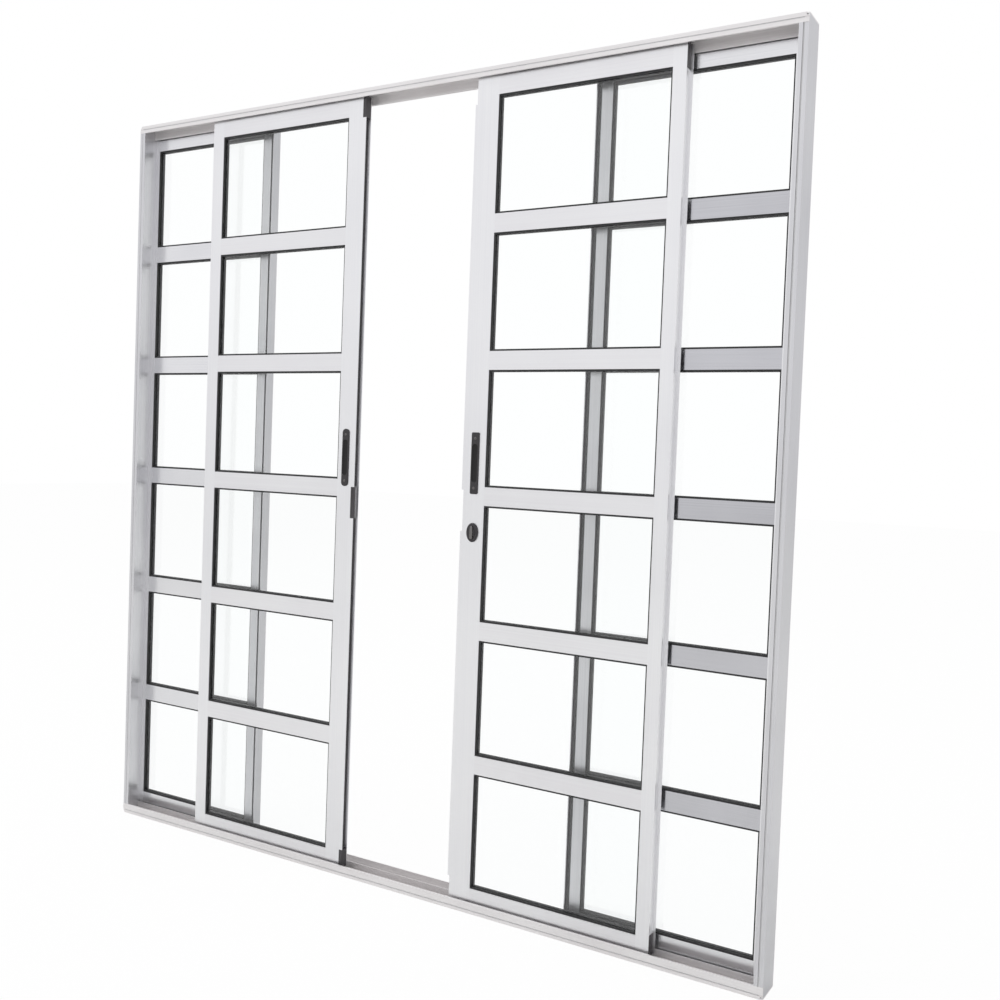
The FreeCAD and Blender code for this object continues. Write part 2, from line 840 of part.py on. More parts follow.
bad = []
for item in doc.Objects:
    if "Invalid" in item.State or "Error" in item.State:
        bad.append(item.Label)
bodies = [item for item in doc.Objects if item.TypeId == "PartDesign::Body"]
for item in bodies:
    if item.Shape.isNull() or not item.Shape.isValid():
        bad.append(item.Label + " shape")
if bad:
    raise RuntimeError("not made: " + ", ".join(bad))

os.makedirs("parts", exist_ok=True)
for item in bodies:
    item.Shape.exportStep("parts/" + item.Label + ".step")
    box = item.Shape.BoundBox
    print("%-30s %2d solids  x %8.1f %8.1f  y %6.1f %6.1f  z %7.1f %7.1f" % (
        item.Label, len(item.Shape.Solids), box.XMin, box.XMax,
        box.YMin, box.YMax, box.ZMin, box.ZMax))
print(len(bodies), "parts")
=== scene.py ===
# %% [markdown]
# # A glass sliding patio door
# The real door is a frame of aluminium sections with two glazed leaves fixed
# at the back and two that slide in front of them. Its solids come ready made
# from the CAD part. This lesson gives them their finishes, adds the small
# pieces that are too fine for the CAD part, and lights and frames the picture.

# %% Load the CAD part
import math

import bmesh
import bpy
from mathutils import Matrix, Vector


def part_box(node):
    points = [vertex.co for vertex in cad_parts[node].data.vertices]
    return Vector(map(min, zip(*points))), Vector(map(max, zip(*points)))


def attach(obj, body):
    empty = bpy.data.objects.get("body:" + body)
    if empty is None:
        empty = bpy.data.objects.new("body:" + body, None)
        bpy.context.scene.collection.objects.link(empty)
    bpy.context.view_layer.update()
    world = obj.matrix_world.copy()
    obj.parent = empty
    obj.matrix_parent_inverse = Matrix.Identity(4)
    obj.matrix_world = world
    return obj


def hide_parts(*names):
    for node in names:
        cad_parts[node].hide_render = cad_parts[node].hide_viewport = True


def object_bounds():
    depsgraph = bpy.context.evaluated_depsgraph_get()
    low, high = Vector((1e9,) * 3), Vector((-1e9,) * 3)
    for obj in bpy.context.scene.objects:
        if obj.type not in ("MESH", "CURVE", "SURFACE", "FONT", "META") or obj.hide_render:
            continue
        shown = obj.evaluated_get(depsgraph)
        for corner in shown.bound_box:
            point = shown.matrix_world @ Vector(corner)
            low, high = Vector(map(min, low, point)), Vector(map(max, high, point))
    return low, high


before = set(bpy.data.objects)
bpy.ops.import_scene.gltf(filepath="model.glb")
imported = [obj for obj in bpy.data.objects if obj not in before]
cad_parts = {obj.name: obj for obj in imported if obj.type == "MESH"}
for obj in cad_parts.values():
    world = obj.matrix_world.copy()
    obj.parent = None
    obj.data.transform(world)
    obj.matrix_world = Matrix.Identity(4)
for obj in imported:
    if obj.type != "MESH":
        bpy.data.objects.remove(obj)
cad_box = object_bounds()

MM = 0.001
low_corner, high_corner = (Vector(corner) for corner in cad_box)
print("door", [round(v, 3) for v in high_corner - low_corner], "metres")

# %% [markdown]
# ## The camera
# A photograph taken indoors by hand is never quite level. This one was taken
# from the right, at chest height, with the camera tipped down and rolled by
# two degrees. The picture is cut a little off its middle, and a small shift
# of the lens puts that right.

# %% Camera
CAMERA_PLACE = Vector((1.6311, -2.3571, 1.1631))
YAW, PITCH, ROLL = (math.radians(angle) for angle in (-31.199, -2.131, 2.135))
SENSOR_WIDTH = 36
LENS = 39.319
SHIFT_RIGHT = 0.0258
SHIFT_DOWN = 0.0102

ahead = Vector((math.sin(YAW) * math.cos(PITCH),
                math.cos(YAW) * math.cos(PITCH), math.sin(PITCH)))
level_right = Vector((math.cos(YAW), -math.sin(YAW), 0))
level_up = level_right.cross(ahead)
right = math.cos(ROLL) * level_right + math.sin(ROLL) * level_up
up = math.cos(ROLL) * level_up - math.sin(ROLL) * level_right

camera_data = bpy.data.cameras.new("camera")
camera_data.sensor_width = SENSOR_WIDTH
camera_data.lens = LENS
camera_data.shift_x = SHIFT_RIGHT
camera_data.shift_y = -SHIFT_DOWN
camera = bpy.data.objects.new("camera", camera_data)
bpy.context.scene.collection.objects.link(camera)
turn = Matrix((right, up, -ahead)).transposed()
camera.matrix_world = Matrix.Translation(CAMERA_PLACE) @ turn.to_4x4()
bpy.context.scene.camera = camera
print("camera", [round(v, 3) for v in CAMERA_PLACE])

# %% [markdown]
# ## Helpers for materials
# Colours are written as they look on a screen, so one function turns them to
# the linear values that the renderer works with. Another adds a node with its
# settings and links in one line, so that a material reads like a recipe. Most
# of a noise lies between the two values named here.

# %% Material helpers
NOISE_LOW, NOISE_HIGH = 0.3, 0.7


def linear(hex_colour, alpha=1.0):
    """A screen colour such as C8CACC as linear red, green and blue."""
    parts = [int(hex_colour[i:i + 2], 16) / 255 for i in (0, 2, 4)]
    light = [v / 12.92 if v <= 0.04045 else ((v + 0.055) / 1.055) ** 2.4
             for v in parts]
    return (*light, alpha)


def add_node(tree, kind, settings=None, values=None, links=None):
    """A node with its settings, socket values and incoming links."""
    node = tree.nodes.new(kind)
    for name, value in (settings or {}).items():
        setattr(node, name, value)
    for socket, value in (values or {}).items():
        node.inputs[socket].default_value = value
    for socket, source in (links or {}).items():
        tree.links.new(source, node.inputs[socket])
    return node


def new_material(name):
    """An empty material, its tree and its output node."""
    material = bpy.data.materials.new(name)
    material.use_nodes = True
    tree = material.node_tree
    tree.nodes.clear()
    output = add_node(tree, "ShaderNodeOutputMaterial")
    return material, tree, output


def colour_steps(ramp, steps):
    """Sets a colour ramp's stops from (place, colour) pairs."""
    elements = ramp.color_ramp.elements
    while len(elements) < len(steps):
        elements.new(1.0)
    for element, (place, colour) in zip(elements, steps):
        element.position = place
        element.color = colour


print("F0F0F0 is", [round(v, 3) for v in linear("F0F0F0")[:3]])

# %% [markdown]
# ## Anodised aluminium
# The sections are pushed hot through a die, which leaves faint lines along
# their length, and are then etched and anodised to a pale satin silver. The
# lines are stretched noise: long along the section and fine across it. They
# change the roughness and the bump a little, and the colour very slightly. A
# real die line is about 0.2 mm wide. It is drawn 3 mm wide here, because a
# pixel of the picture is about that wide. A second, slower noise is the
# uneven tone that the anodising bath leaves along a section. The frame, the
# leaves and the fixed rails all get copies of this one metal. Their tones
# differ a little as painted light and shade, standing for the light that
# each run of sections catches and mirrors. The darker copies for the jambs,
# the fixed interlock stiles and the right fixed cross rails are painted shade.

# %% Anodised aluminium
DIE_LINE = 3 * MM
STREAK_LENGTH = 900 * MM
BATH_CLOUD = 260 * MM
DIE_LINE_DEPTH = 0.05 * MM
TONE_LOW, TONE_HIGH = 0.35, 0.65
SMOOTHER, ROUGHER = 0.04, 0.05


def anodised_aluminium(name, along, pale, dark, roughness=0.34, relief=0.06,
                       metallic=1.0):
    """Satin silver aluminium with die lines along one axis."""
    material, tree, output = new_material(name)
    place = add_node(tree, "ShaderNodeTexCoord")
    scale = [1 / DIE_LINE] * 3
    scale["XYZ".index(along)] = 1 / STREAK_LENGTH
    stretch = add_node(tree, "ShaderNodeMapping", values={"Scale": scale},
                       links={"Vector": place.outputs["Object"]})
    lines = add_node(tree, "ShaderNodeTexNoise",
                     values={"Scale": 1.0, "Detail": 3.0, "Roughness": 0.6},
                     links={"Vector": stretch.outputs["Vector"]})
    cloud = add_node(tree, "ShaderNodeTexNoise",
                     values={"Scale": 1 / BATH_CLOUD, "Detail": 2.0},
                     links={"Vector": place.outputs["Object"]})
    both = add_node(tree, "ShaderNodeMath", {"operation": "ADD"},
                    links={0: lines.outputs["Fac"], 1: cloud.outputs["Fac"]})
    half = add_node(tree, "ShaderNodeMath", {"operation": "MULTIPLY"},
                    {1: 0.5}, {0: both.outputs[0]})
    tone = add_node(tree, "ShaderNodeValToRGB", links={"Fac": half.outputs[0]})
    colour_steps(tone, [(TONE_LOW, linear(dark)), (TONE_HIGH, linear(pale))])
    satin = add_node(tree, "ShaderNodeMapRange",
                     values={"From Min": NOISE_LOW, "From Max": NOISE_HIGH,
                             "To Min": roughness - SMOOTHER,
                             "To Max": roughness + ROUGHER},
                     links={"Value": lines.outputs["Fac"]})
    bump = add_node(tree, "ShaderNodeBump",
                    values={"Strength": relief, "Distance": DIE_LINE_DEPTH},
                    links={"Height": lines.outputs["Fac"]})
    metal = add_node(tree, "ShaderNodeBsdfPrincipled",
                     values={"Metallic": metallic},
                     links={"Base Color": tone.outputs["Color"],
                            "Roughness": satin.outputs["Result"],
                            "Normal": bump.outputs["Normal"]})
    tree.links.new(metal.outputs[0], output.inputs["Surface"])
    return material


upright_leaf_metal = anodised_aluminium(
    "anodised_aluminium_stile", "Z", "EEEEEF", "E8E8EA")
level_leaf_metal = anodised_aluminium(
    "anodised_aluminium_rail", "X", "ECECED", "E6E5E7")
# The jambs' darker tone is painted shade.
shaded_jamb_metal = anodised_aluminium(
    "anodised_aluminium_jamb_painted_shade", "Z", "DCDCDE", "CDCDD0")
level_frame_metal = anodised_aluminium(
    "anodised_aluminium_head", "X", "F0EEEE", "E5E2E2", metallic=0.6)
# The interlock stiles' darker tone is painted shade.
shaded_interlock_metal = anodised_aluminium(
    "anodised_aluminium_interlock_painted_shade", "Z", "D2D2D4", "BEBEC1")
pale_fixed_metal = anodised_aluminium(
    "anodised_aluminium_pale_rail", "X", "EAEAEB", "DDDDE0", 0.2, 0.1)
# The grey tone of the right fixed cross rails is painted shade.
shaded_rail_metal = anodised_aluminium(
    "anodised_aluminium_shaded_rail", "X", "CCCCD0", "BCBCC0", 0.16, 0.1)
print("metals", upright_leaf_metal.name, level_leaf_metal.name)

# %% [markdown]
# ## Clear float glass
# Float glass is clear and perfectly smooth. The shader is a plain dielectric
# with glass's IOR of 1.5. Its mirrored share is turned far down, because the
# panes in the photograph show plain white. Light Path lets the lamp shine
# straight through, because a renderer would otherwise treat the pane as a
# wall and darken everything behind it.

# %% Float glass
GLASS_TINT = "FEFFFF"
GLASS_IOR = 1.5
MIRRORED_SHARE = 0.02


def float_glass():
    """A clear dielectric that casts no shadow."""
    material, tree, output = new_material("clear_float_glass")
    glass = add_node(tree, "ShaderNodeBsdfPrincipled",
                     values={"Base Color": linear(GLASS_TINT),
                             "Roughness": 0.0, "IOR": GLASS_IOR,
                             "Specular IOR Level": MIRRORED_SHARE,
                             "Transmission Weight": 1.0})
    through = add_node(tree, "ShaderNodeBsdfTransparent",
                       values={"Color": linear(GLASS_TINT)})
    ray = add_node(tree, "ShaderNodeLightPath")
    mix = add_node(tree, "ShaderNodeMixShader",
                   links={"Fac": ray.outputs["Is Shadow Ray"],
                          1: glass.outputs[0], 2: through.outputs[0]})
    tree.links.new(mix.outputs[0], output.inputs["Surface"])
    return material


clear_glass = float_glass()
print("glass", clear_glass.name)

# %% [markdown]
# ## Rubber, plastic and small metal parts
# The wedge gaskets are extruded EPDM rubber: matt, nearly black, with a faint
# bloom. The caps, pulls, strike and lock are black too, but moulded or coated,
# so they are smoother, with a fine grain. The grey strip in the frame's groove
# is painted shade, with the roughness and grain of rubber. The rollers are
# pale nylon, the pile is woven, and the screws are plated steel. The grain of
# a real moulding is about 0.3 mm. It is drawn 1.2 to 2 mm wide here, so that
# it shows.

# %% Rubber, plastic and small metal parts
GRAIN_DEPTH = 0.1 * MM
RUBBER_GRAIN = 2.0 * MM
CAST_GRAIN = 1.5 * MM
PILE_GRAIN = 1.2 * MM
RUBBER_IOR = 1.52
NYLON_IOR = 1.53
SHEEN_SPREAD = 0.05


def grained(name, dark, pale, roughness, grain, relief, ior=1.5,
            metallic=0.0):
    """A surface with a speckled tone and a fine grain."""
    material, tree, output = new_material(name)
    place = add_node(tree, "ShaderNodeTexCoord")
    speck = add_node(tree, "ShaderNodeTexNoise",
                     values={"Scale": 1 / grain, "Detail": 4.0},
                     links={"Vector": place.outputs["Object"]})
    tone = add_node(tree, "ShaderNodeValToRGB",
                    links={"Fac": speck.outputs["Fac"]})
    colour_steps(tone, [(NOISE_LOW, linear(dark)), (NOISE_HIGH, linear(pale))])
    sheen = add_node(tree, "ShaderNodeMapRange",
                     values={"From Min": NOISE_LOW, "From Max": NOISE_HIGH,
                             "To Min": roughness - SHEEN_SPREAD,
                             "To Max": roughness + SHEEN_SPREAD},
                     links={"Value": speck.outputs["Fac"]})
    bump = add_node(tree, "ShaderNodeBump",
                    values={"Strength": relief, "Distance": GRAIN_DEPTH},
                    links={"Height": speck.outputs["Fac"]})
    shader = add_node(tree, "ShaderNodeBsdfPrincipled",
                      values={"IOR": ior, "Metallic": metallic},
                      links={"Base Color": tone.outputs["Color"],
                             "Roughness": sheen.outputs["Result"],
                             "Normal": bump.outputs["Normal"]})
    tree.links.new(shader.outputs[0], output.inputs["Surface"])
    return material


gasket_rubber = grained("extruded_epdm_rubber", "1E1E1F", "2C2C2D",
                        0.6, RUBBER_GRAIN, 0.1, RUBBER_IOR)
cap_plastic = grained("moulded_black_nylon", "353235", "444144",
                      0.45, CAST_GRAIN, 0.15, NYLON_IOR)
coated_metal = grained("black_powder_coat", "262426", "353235",
                       0.4, CAST_GRAIN, 0.1)
# The dish floor's darker black and weaker sheen are painted shade for the recess.
dish_shade_black = grained("dish_painted_shade_black", "141314", "1E1D1E",
                     0.6, CAST_GRAIN, 0.1, ior=1.4)
plated_steel = grained("zinc_plated_steel", "6E6C6B", "827F7E",
                       0.4, CAST_GRAIN, 0.1, metallic=1.0)
# The grey of the strip in the frame's groove is painted shade.
groove_shade_grey = grained("groove_painted_shade_grey", "CBCBCC", "D9D9DA",
                      0.6, RUBBER_GRAIN, 0.1, RUBBER_IOR)
pile_fibre = grained("woven_grey_pile", "3A3A3C", "58585A",
                     0.85, PILE_GRAIN, 0.4)
roller_nylon = grained("moulded_pale_nylon", "C9C8C2", "D6D5CF",
                       0.4, CAST_GRAIN, 0.1, NYLON_IOR)
print("darks", gasket_rubber.name, cap_plastic.name, coated_metal.name)

# %% [markdown]
# ## Finishes for the CAD solids
# Each solid's name says what it is, so its finish follows from its name. The
# die lines run along a section, so upright and level ones differ.

# %% Give the CAD solids their finishes


def finish_for(node):
    """The material of a CAD node, from its name."""
    if node.endswith("glass"):
        return clear_glass
    if node.endswith("gaskets"):
        return gasket_rubber
    if node.endswith("end_caps"):
        return cap_plastic
    if node.endswith(("pull_handle", "strike", "lock")):
        return coated_metal
    if node.endswith("rollers"):
        return roller_nylon
    if node in ("head", "sill"):
        return level_frame_metal
    if node.endswith("jamb"):
        return shaded_jamb_metal
    if node.endswith("fixed_inner_stile"):
        return shaded_interlock_metal
    if node.endswith("stile"):
        return upright_leaf_metal
    if node == "right_fixed_cross_rails":
        return shaded_rail_metal
    if "_fixed_" in node:
        return pale_fixed_metal
    return level_leaf_metal


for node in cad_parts:
    solid = bpy.data.objects[node]
    solid.data.materials.clear()
    solid.data.materials.append(finish_for(node))
print(len(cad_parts), "CAD nodes finished")

# %% [markdown]
# ## A helper for the small fittings
# The pulls, the lock, the strike and the screws are all small castings with a
# soft outline and a stepped front. Each can be made as a stack of rings that
# are bridged from back to front, as a loft is made in CAD. Every ring starts
# as a circle. Moving its four quarters apart gives a strip with round ends or
# a rectangle with round corners, and stretching it gives an oval. The mesh is
# then moved to its place on the door, so that its object stays at the origin,
# as the CAD solids' objects do. Two rings at the same depth could be bridged
# the wrong way round, so the inner one of a level face lies a hair deeper. A
# band of faces with less than LEVEL_STEP between its rings is shaded flat.

# %% Rings and lofts
RING_SEGMENTS = 32
LEAN = 0.1
LEVEL_STEP = 0.15
ON_AXIS = 1e-7


def ring(shape, wide, tall, corner, y):
    """An upright ring of edges, wide by tall, centred in the plane at y."""
    made = bmesh.ops.create_circle(shape, segments=RING_SEGMENTS,
                                   radius=corner or wide / 2)["verts"]
    bmesh.ops.rotate(shape, verts=made, cent=(0, 0, 0),
                     matrix=Matrix.Rotation(math.radians(90), 3, "X"))
    if corner:
        move = (wide / 2 - corner, 0, tall / 2 - corner)
        for axis in (0, 2):
            for side in (-1, 1):
                half = [v for v in made if v.co[axis] * side > ON_AXIS]
                step = Vector((0, 0, 0))
                step[axis] = side * move[axis]
                bmesh.ops.translate(shape, verts=half, vec=step)
    else:
        bmesh.ops.scale(shape, verts=made, vec=(1, 1, tall / wide))
    bmesh.ops.translate(shape, verts=made, vec=(0, y, 0))
    return list({edge for v in made for edge in v.link_edges})


def loft(shape, rings, centre=(0, 0), slot_from=None, slot=1):
    """Bridges (wide, tall, corner, depth) rings, in mm, from back to front."""
    before = set(shape.faces)
    loops = []
    for wide, tall, corner, depth in rings:
        radius = corner * MM if corner else None
        loops.append(ring(shape, wide * MM, tall * MM, radius, -depth * MM))
    for index, (near, far) in enumerate(zip(loops, loops[1:])):
        made = bmesh.ops.bridge_loops(shape, edges=near + far)["faces"]
        step = abs(rings[index][3] - rings[index + 1][3])
        for face in made:
            face.smooth = step > LEVEL_STEP
            if slot_from is not None and index >= slot_from:
                face.material_index = slot
    for loop in (loops[0], loops[-1]):
        cap = bmesh.ops.contextual_create(shape, geom=loop)["faces"]
        if slot_from is not None and loop is loops[-1]:
            for face in cap:
                face.material_index = slot
    verts = {v for face in set(shape.faces) - before for v in face.verts}
    bmesh.ops.translate(shape, verts=list(verts),
                        vec=(centre[0] * MM, 0, centre[1] * MM))


def finish_piece(name, shape, place, finishes, body):
    """Puts a finished bmesh in the scene, in its place, on its body."""
    bmesh.ops.recalc_face_normals(shape, faces=shape.faces)
    bmesh.ops.translate(shape, verts=shape.verts, vec=place)
    mesh = bpy.data.meshes.new(name)
    shape.to_mesh(mesh)
    shape.free()
    for finish in finishes:
        mesh.materials.append(finish)
    piece = bpy.data.objects.new(name, mesh)
    bpy.context.scene.collection.objects.link(piece)
    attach(piece, body)
    print(name, len(mesh.polygons), "faces")
    return piece


def place_on(node):
    """The middle of a CAD node's back face, and its size in mm."""
    low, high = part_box(node)
    size = (high - low) / MM
    return Vector(((low.x + high.x) / 2, high.y, (low.z + high.z) / 2)), size


# %% [markdown]
# ## Pull handles
# A leaf is slid by a flush pull: a thin cast plate, powder coated black, with
# a shallow dish for the fingertips and a screw above and below it. The left
# one has round ends and the right one has small corners. The floor of the dish
# gets a darker black with a weaker mirror sheen. This is painted shade for the
# shade in the recess. The screws are plated. The plate's profile gives how far
# each ring is drawn in and its height against the plate's face. A screw's
# profile gives shares of its width and heights against the same face, from its
# hidden foot over the dome to the floor of its socket.

# %% Pull handles
DISH_WIDE, DISH_TALL = 15, 95
DISH_LIP = 0.4
DISH_FLOOR = 1
ROUND_CORNER = 10.9
SMALL_CORNER = 4
PLATE_PROFILE = [(0, -0.9), (0.6, -0.3), (2, 0)]
SCREW_WIDE = 6.4
SCREW_HEIGHT = 62
SCREW_PROFILE = [(1, -0.3), (1, 0.1), (0.86, 0.4), (0.5, 0.5), (0.42, -0.2)]


def screw(shape, height, top):
    """A domed screw head with a socket, whose seat is at depth top."""
    rings = [(SCREW_WIDE * share, SCREW_WIDE * share, None, top + rise)
             for share, rise in SCREW_PROFILE]
    loft(shape, rings, (0, height), slot_from=0, slot=2)


def pull_handle(side, corner):
    """The dished plate that stands for a leaf's CAD pull handle."""
    node = side + "_slide_pull_handle"
    place, (wide, thick, tall) = place_on(node)
    shape = bmesh.new()
    rings = [(wide, tall, corner, 0)]
    rings += [(wide - inset, tall - inset, corner - inset / 2, thick + rise)
              for inset, rise in PLATE_PROFILE]
    dish = [(1, thick - LEAN), (0, thick - DISH_LIP),
            (-2, DISH_FLOOR + 0.3), (-5, DISH_FLOOR)]
    # The dish's rings take the darker black, which is painted shade.
    dish_shade_from = len(rings)
    rings += [(DISH_WIDE + more, DISH_TALL + more,
               (DISH_WIDE + more) / 2, depth) for more, depth in dish]
    loft(shape, rings, slot_from=dish_shade_from)
    for height in (-SCREW_HEIGHT, SCREW_HEIGHT):
        screw(shape, height, thick)
    piece = finish_piece(side + "_pull_plate", shape, place,
                         [coated_metal, dish_shade_black, plated_steel],
                         side + "_leaf")
    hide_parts(node)


pull_handle("left", ROUND_CORNER)
pull_handle("right", SMALL_CORNER)

# %% [markdown]
# ## Lock
# The right leaf has a small lock below its pull: an oval rose with a rounded
# rim, a round boss in its middle, and an upright turn piece for finger and
# thumb. Each of the three is a loft of its own in the same mesh, with its
# foot sunk in the one behind it.

# %% Lock
ROSE_THICK = 4
FOOT = 3.5
BOSS_WIDE = 20

place, (wide, reach, tall) = place_on("right_slide_lock")
shape = bmesh.new()
loft(shape, [(wide, tall, None, 0), (wide, tall, None, 2.4),
             (wide - 1.2, tall - 1.2, None, FOOT),
             (wide - 4, tall - 4, None, ROSE_THICK)])
loft(shape, [(BOSS_WIDE, BOSS_WIDE, None, FOOT),
             (BOSS_WIDE, BOSS_WIDE, None, 5),
             (18.6, 18.6, None, 5.6), (16, 16, None, 5.8)])
loft(shape, [(8.4, 33, 4.1, FOOT), (8, 32, 3.9, 7.8),
             (7, 31, 3.4, reach - 0.4), (5, 29, 2.4, reach)], slot_from=0)
lock = finish_piece("right_lock_rose", shape, place,
                    [coated_metal, plated_steel], "right_leaf")
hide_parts("right_slide_lock")

# %% [markdown]
# ## Strike
# The left leaf carries the strike that the lock's hook enters: a black moulded
# block let into the edge of the meeting stile, with a rim around a recessed
# face.

# %% Strike
STRIKE_DEEP = 8

place, (wide, deep, tall) = place_on("left_slide_strike")
shape = bmesh.new()
loft(shape, [(wide, tall, 1, deep - STRIKE_DEEP), (wide, tall, 1, deep - 1),
             (wide - 0.6, tall - 0.6, 0.8, deep - 0.3),
             (wide - 1.6, tall - 1.6, 0.6, deep),
             (wide - 5, tall - 5, 0.6, deep - LEAN),
             (wide - 5.6, tall - 5.6, 0.5, deep - 0.8)])
strike = finish_piece("left_strike_block", shape, place, [cap_plastic],
                      "left_leaf")
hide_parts("left_slide_strike")

# %% [markdown]
# ## Weather pile
# Where the leaves pass each other, a strip of woven pile sits in a slot of the
# fixed stile and brushes the sliding leaf, against draughts. A stiff backing
# slides in the slot, and a narrower brush stands on it. A cube stretched to
# the backing is inset and extruded on its front face for the brush. A thinner
# strip of the same form lies in the back corner of the left meeting stile's
# channel, above and below the strike, against draughts when the leaves meet.
# It stops a millimetre short of the end caps.

# %% Weather pile
SLOT = 10
SLOT_BOTTOM = 16
BACKING = 1.2
BRUSH_INSET = 1.5
BRUSH = 6
FIN = 2
END_GAP = 20
SLOT_PLAY = 0.4
BACKING_PLAY = 0.1
LOW_PILE = 0.5
LOW_PILE_WIDE = 6.5
CORNER_PLAY = 0.2
LOWER_CAP = 48
UPPER_CAP = 56
CAP_GAP = 1


def strip(wide, tall, backing, brush):
    """A backing, in metres, with a narrower raised face toward -Y."""
    shape = bmesh.new()
    bmesh.ops.create_cube(shape, size=1)
    bmesh.ops.scale(shape, verts=shape.verts, vec=(wide, backing, tall))
    shape.normal_update()
    front = min(shape.faces, key=lambda face: face.normal.y)
    bmesh.ops.inset_individual(shape, faces=[front],
                               thickness=BRUSH_INSET * MM)
    raised = bmesh.ops.extrude_discrete_faces(shape, faces=[front])["faces"]
    for face in raised:
        bmesh.ops.translate(shape, verts=face.verts, vec=(0, -brush, 0))
    return shape


def weather_pile(side, sign):
    """The pile strip in the slot of a fixed interlock stile."""
    low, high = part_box(side + "_fixed_inner_stile")
    inner_edge = high.x if side == "left" else low.x
    middle = inner_edge - sign * (FIN + SLOT / 2) * MM
    tall = high.z - low.z - 2 * END_GAP * MM
    shape = strip((SLOT - SLOT_PLAY) * MM, tall, BACKING * MM, BRUSH * MM)
    depth = (SLOT_BOTTOM - BACKING / 2 - BACKING_PLAY) * MM
    place = Vector((middle, depth, (low.z + high.z) / 2))
    finish_piece(side + "_weather_pile", shape, place, [pile_fibre],
                 "frame")


def channel_pile(name, bottom, top):
    """A low strip of pile in the left meeting stile's channel."""
    low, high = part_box("left_slide_strike")
    shape = strip(LOW_PILE_WIDE * MM, top - bottom,
                  LOW_PILE * MM, LOW_PILE * MM)
    bmesh.ops.rotate(shape, verts=shape.verts, cent=(0, 0, 0),
                     matrix=Matrix.Rotation(math.radians(90), 3, "Z"))
    place = Vector((low.x + LOW_PILE / 2 * MM,
                    high.y - (LOW_PILE_WIDE / 2 + CORNER_PLAY) * MM,
                    (bottom + top) / 2))
    finish_piece(name, shape, place, [pile_fibre], "left_leaf")


weather_pile("left", 1)
weather_pile("right", -1)
strike_low, strike_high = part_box("left_slide_strike")
stile_low, stile_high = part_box("left_slide_meeting_stile")
channel_pile("lower_channel_pile",
             stile_low.z + (LOWER_CAP + CAP_GAP) * MM, strike_low.z)
channel_pile("upper_channel_pile", strike_high.z,
             stile_high.z - (UPPER_CAP + CAP_GAP) * MM)

# %% [markdown]
# ## Painted shade in the frame's grooves
# A shallow groove runs around the front of the frame, between its outer band
# and the rest of its face. A grey strip lies in it. The strip is painted shade
# for the shade line along the groove. It is a ring whose back half is pushed
# flat, bridged to the same ring at its other end.

# %% Painted shade strips in the frame's grooves
SHADE_STRIP_RADIUS = 1.45
SHADE_STRIP_SIDES = 16
GROOVE_MIDDLE = 10.5
SILL_GROOVE = 9.5
GROOVE_BOTTOM = 2.5
SILL_TOP = 28
HEAD_FACE = 21


def groove_shade_strip(name, middle, long, level):
    """A D-shaped strip of painted shade, long in mm, upright or level, centred at a point.
    """
    shape = bmesh.new()
    rims = []
    for end in (-long / 2, long / 2):
        made = bmesh.ops.create_circle(shape, cap_ends=True,
                                       segments=SHADE_STRIP_SIDES,
                                       radius=SHADE_STRIP_RADIUS * MM)["verts"]
        for vert in made:
            vert.co.y = min(vert.co.y, 0)
            vert.co.z = end * MM
        rims += list({edge for vert in made for edge in vert.link_edges})
    bmesh.ops.bridge_loops(shape, edges=rims)
    if level:
        bmesh.ops.rotate(shape, verts=shape.verts, cent=(0, 0, 0),
                         matrix=Matrix.Rotation(math.radians(90), 3, "Y"))
    finish_piece(name, shape, Vector(middle), [groove_shade_grey], "frame")


groove_y = low_corner.y + GROOVE_BOTTOM * MM
groove_x = high_corner.x - GROOVE_MIDDLE * MM
frame_long = groove_x * 2 / MM
frame_tall = (high_corner.z - low_corner.z) / MM - SILL_TOP - HEAD_FACE
jamb_middle = (high_corner.z + (SILL_TOP - HEAD_FACE) * MM) / 2
groove_shade_strip("head_groove_shade", (0, groove_y, high_corner.z - GROOVE_MIDDLE * MM),
           frame_long, True)
groove_shade_strip("sill_groove_shade", (0, groove_y, SILL_GROOVE * MM), frame_long, True)
groove_shade_strip("left_jamb_groove_shade", (-groove_x, groove_y, jamb_middle),
           frame_tall, False)
groove_shade_strip("right_jamb_groove_shade", (groove_x, groove_y, jamb_middle),
           frame_tall, False)

# %% [markdown]
# ## Studio
# The object stands on a white floor in front of white, as in a catalogue. The
# world shows plain white to the camera and through glass. What metal mirrors
# is the same white room with its far end a little dimmer than its near end,
# which gives each side of a section its own tone.

# %% World
ROOM_MIDDLE = 0.90
ROOM_NEARER = 0.09
ROOM_LIGHT = 0.75


def plain_sight(tree, ray):
    """A value of 1 for what the camera sees, straight or through glass."""
    return add_node(tree, "ShaderNodeMath", {"operation": "MAXIMUM"},
                    links={0: ray.outputs["Is Camera Ray"],
                           1: ray.outputs["Is Transmission Ray"]})


scene = bpy.context.scene
scene.view_settings.view_transform = "Standard"

world = bpy.data.worlds.new("studio")
scene.world = world
world.use_nodes = True
tree = world.node_tree
tree.nodes.clear()
ray = add_node(tree, "ShaderNodeLightPath")
plain = plain_sight(tree, ray)
toward = add_node(tree, "ShaderNodeTexCoord")
axes = add_node(tree, "ShaderNodeSeparateXYZ",
                links={"Vector": toward.outputs["Generated"]})
room = add_node(tree, "ShaderNodeMapRange",
                values={"From Min": -1.0, "From Max": 1.0,
                        "To Min": ROOM_MIDDLE + ROOM_NEARER,
                        "To Max": ROOM_MIDDLE - ROOM_NEARER},
                links={"Value": axes.outputs["Y"]})
soft = add_node(tree, "ShaderNodeBackground",
                values={"Color": linear("FFFFFF"), "Strength": ROOM_LIGHT})
mirrored = add_node(tree, "ShaderNodeBackground",
                    values={"Color": linear("FDFDFF")},
                    links={"Strength": room.outputs["Result"]})
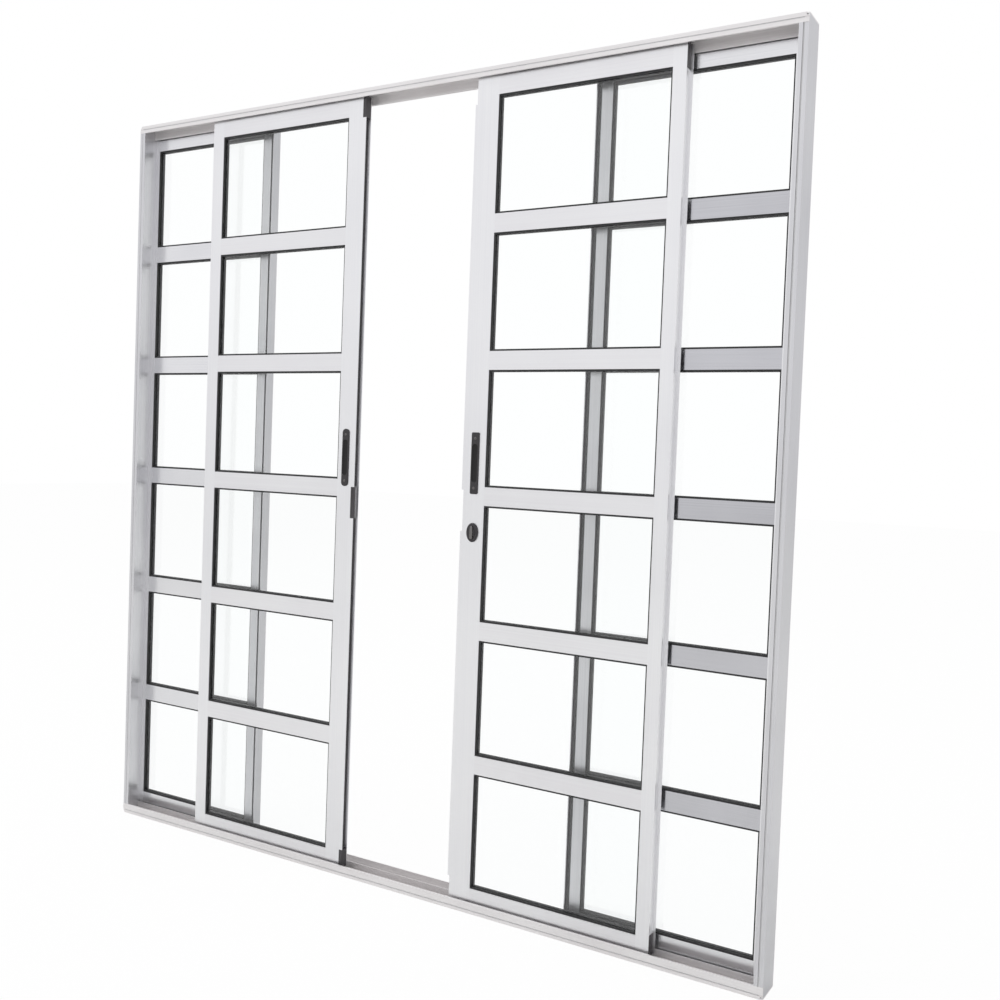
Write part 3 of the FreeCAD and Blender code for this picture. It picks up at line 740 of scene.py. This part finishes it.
white = add_node(tree, "ShaderNodeBackground",
                 values={"Color": linear("FFFFFF"), "Strength": 1.0})
gloss = add_node(tree, "ShaderNodeMixShader",
                 links={"Fac": ray.outputs["Is Glossy Ray"],
                        1: soft.outputs[0], 2: mirrored.outputs[0]})
mix = add_node(tree, "ShaderNodeMixShader",
               links={"Fac": plain.outputs[0],
                      1: gloss.outputs[0], 2: white.outputs[0]})
add_node(tree, "ShaderNodeOutputWorld", links={"Surface": mix.outputs[0]})
print("world", world.name)

# %% [markdown]
# ## Floor
# The floor is mostly self-lit white, so that it meets the background without
# a line, and its lit part keeps the shadow.

# %% Floor
FLOOR_REACH = 20
FLOOR_GLOW = 0.96

floor_mesh = bpy.data.meshes.new("floor")
floor = bpy.data.objects.new("floor", floor_mesh)
scene.collection.objects.link(floor)
shape = bmesh.new()
bmesh.ops.create_grid(shape, x_segments=1, y_segments=1, size=FLOOR_REACH)
shape.to_mesh(floor_mesh)
shape.free()

material, tree, output = new_material("white_studio_floor")
ray = add_node(tree, "ShaderNodeLightPath")
plain = plain_sight(tree, ray)
share = add_node(tree, "ShaderNodeMath", {"operation": "MULTIPLY"},
                 {1: FLOOR_GLOW}, {0: plain.outputs[0]})
lit = add_node(tree, "ShaderNodeBsdfDiffuse",
               values={"Color": linear("FCFCFC")})
glow = add_node(tree, "ShaderNodeEmission",
                values={"Color": linear("FFFFFF"), "Strength": 1.0})
mix = add_node(tree, "ShaderNodeMixShader",
               links={"Fac": share.outputs[0],
                      1: lit.outputs[0], 2: glow.outputs[0]})
tree.links.new(mix.outputs[0], output.inputs["Surface"])
floor_mesh.materials.append(material)
print("floor", floor.name)

# %% [markdown]
# ## Lamp
# One large soft lamp hangs high on the left, so that no pane mirrors it.

# %% Lamp
KEY_PLACE = (-2.5, -1.8, 8.5)
KEY_TARGET = (0, 0, 1.0)
KEY_SIZE = 3.5
KEY_POWER = 165


def soft_box(name, place, target, size, power):
    """A square area lamp aimed at a point."""
    data = bpy.data.lights.new(name, "AREA")
    data.shape = "SQUARE"
    data.size = size
    data.energy = power
    lamp = bpy.data.objects.new(name, data)
    scene.collection.objects.link(lamp)
    aim = Vector(target) - Vector(place)
    turn = aim.to_track_quat("-Z", "Y").to_matrix().to_4x4()
    lamp.matrix_world = Matrix.Translation(place) @ turn


soft_box("key", KEY_PLACE, KEY_TARGET, KEY_SIZE, KEY_POWER)
print("lamp", KEY_POWER, "watts")
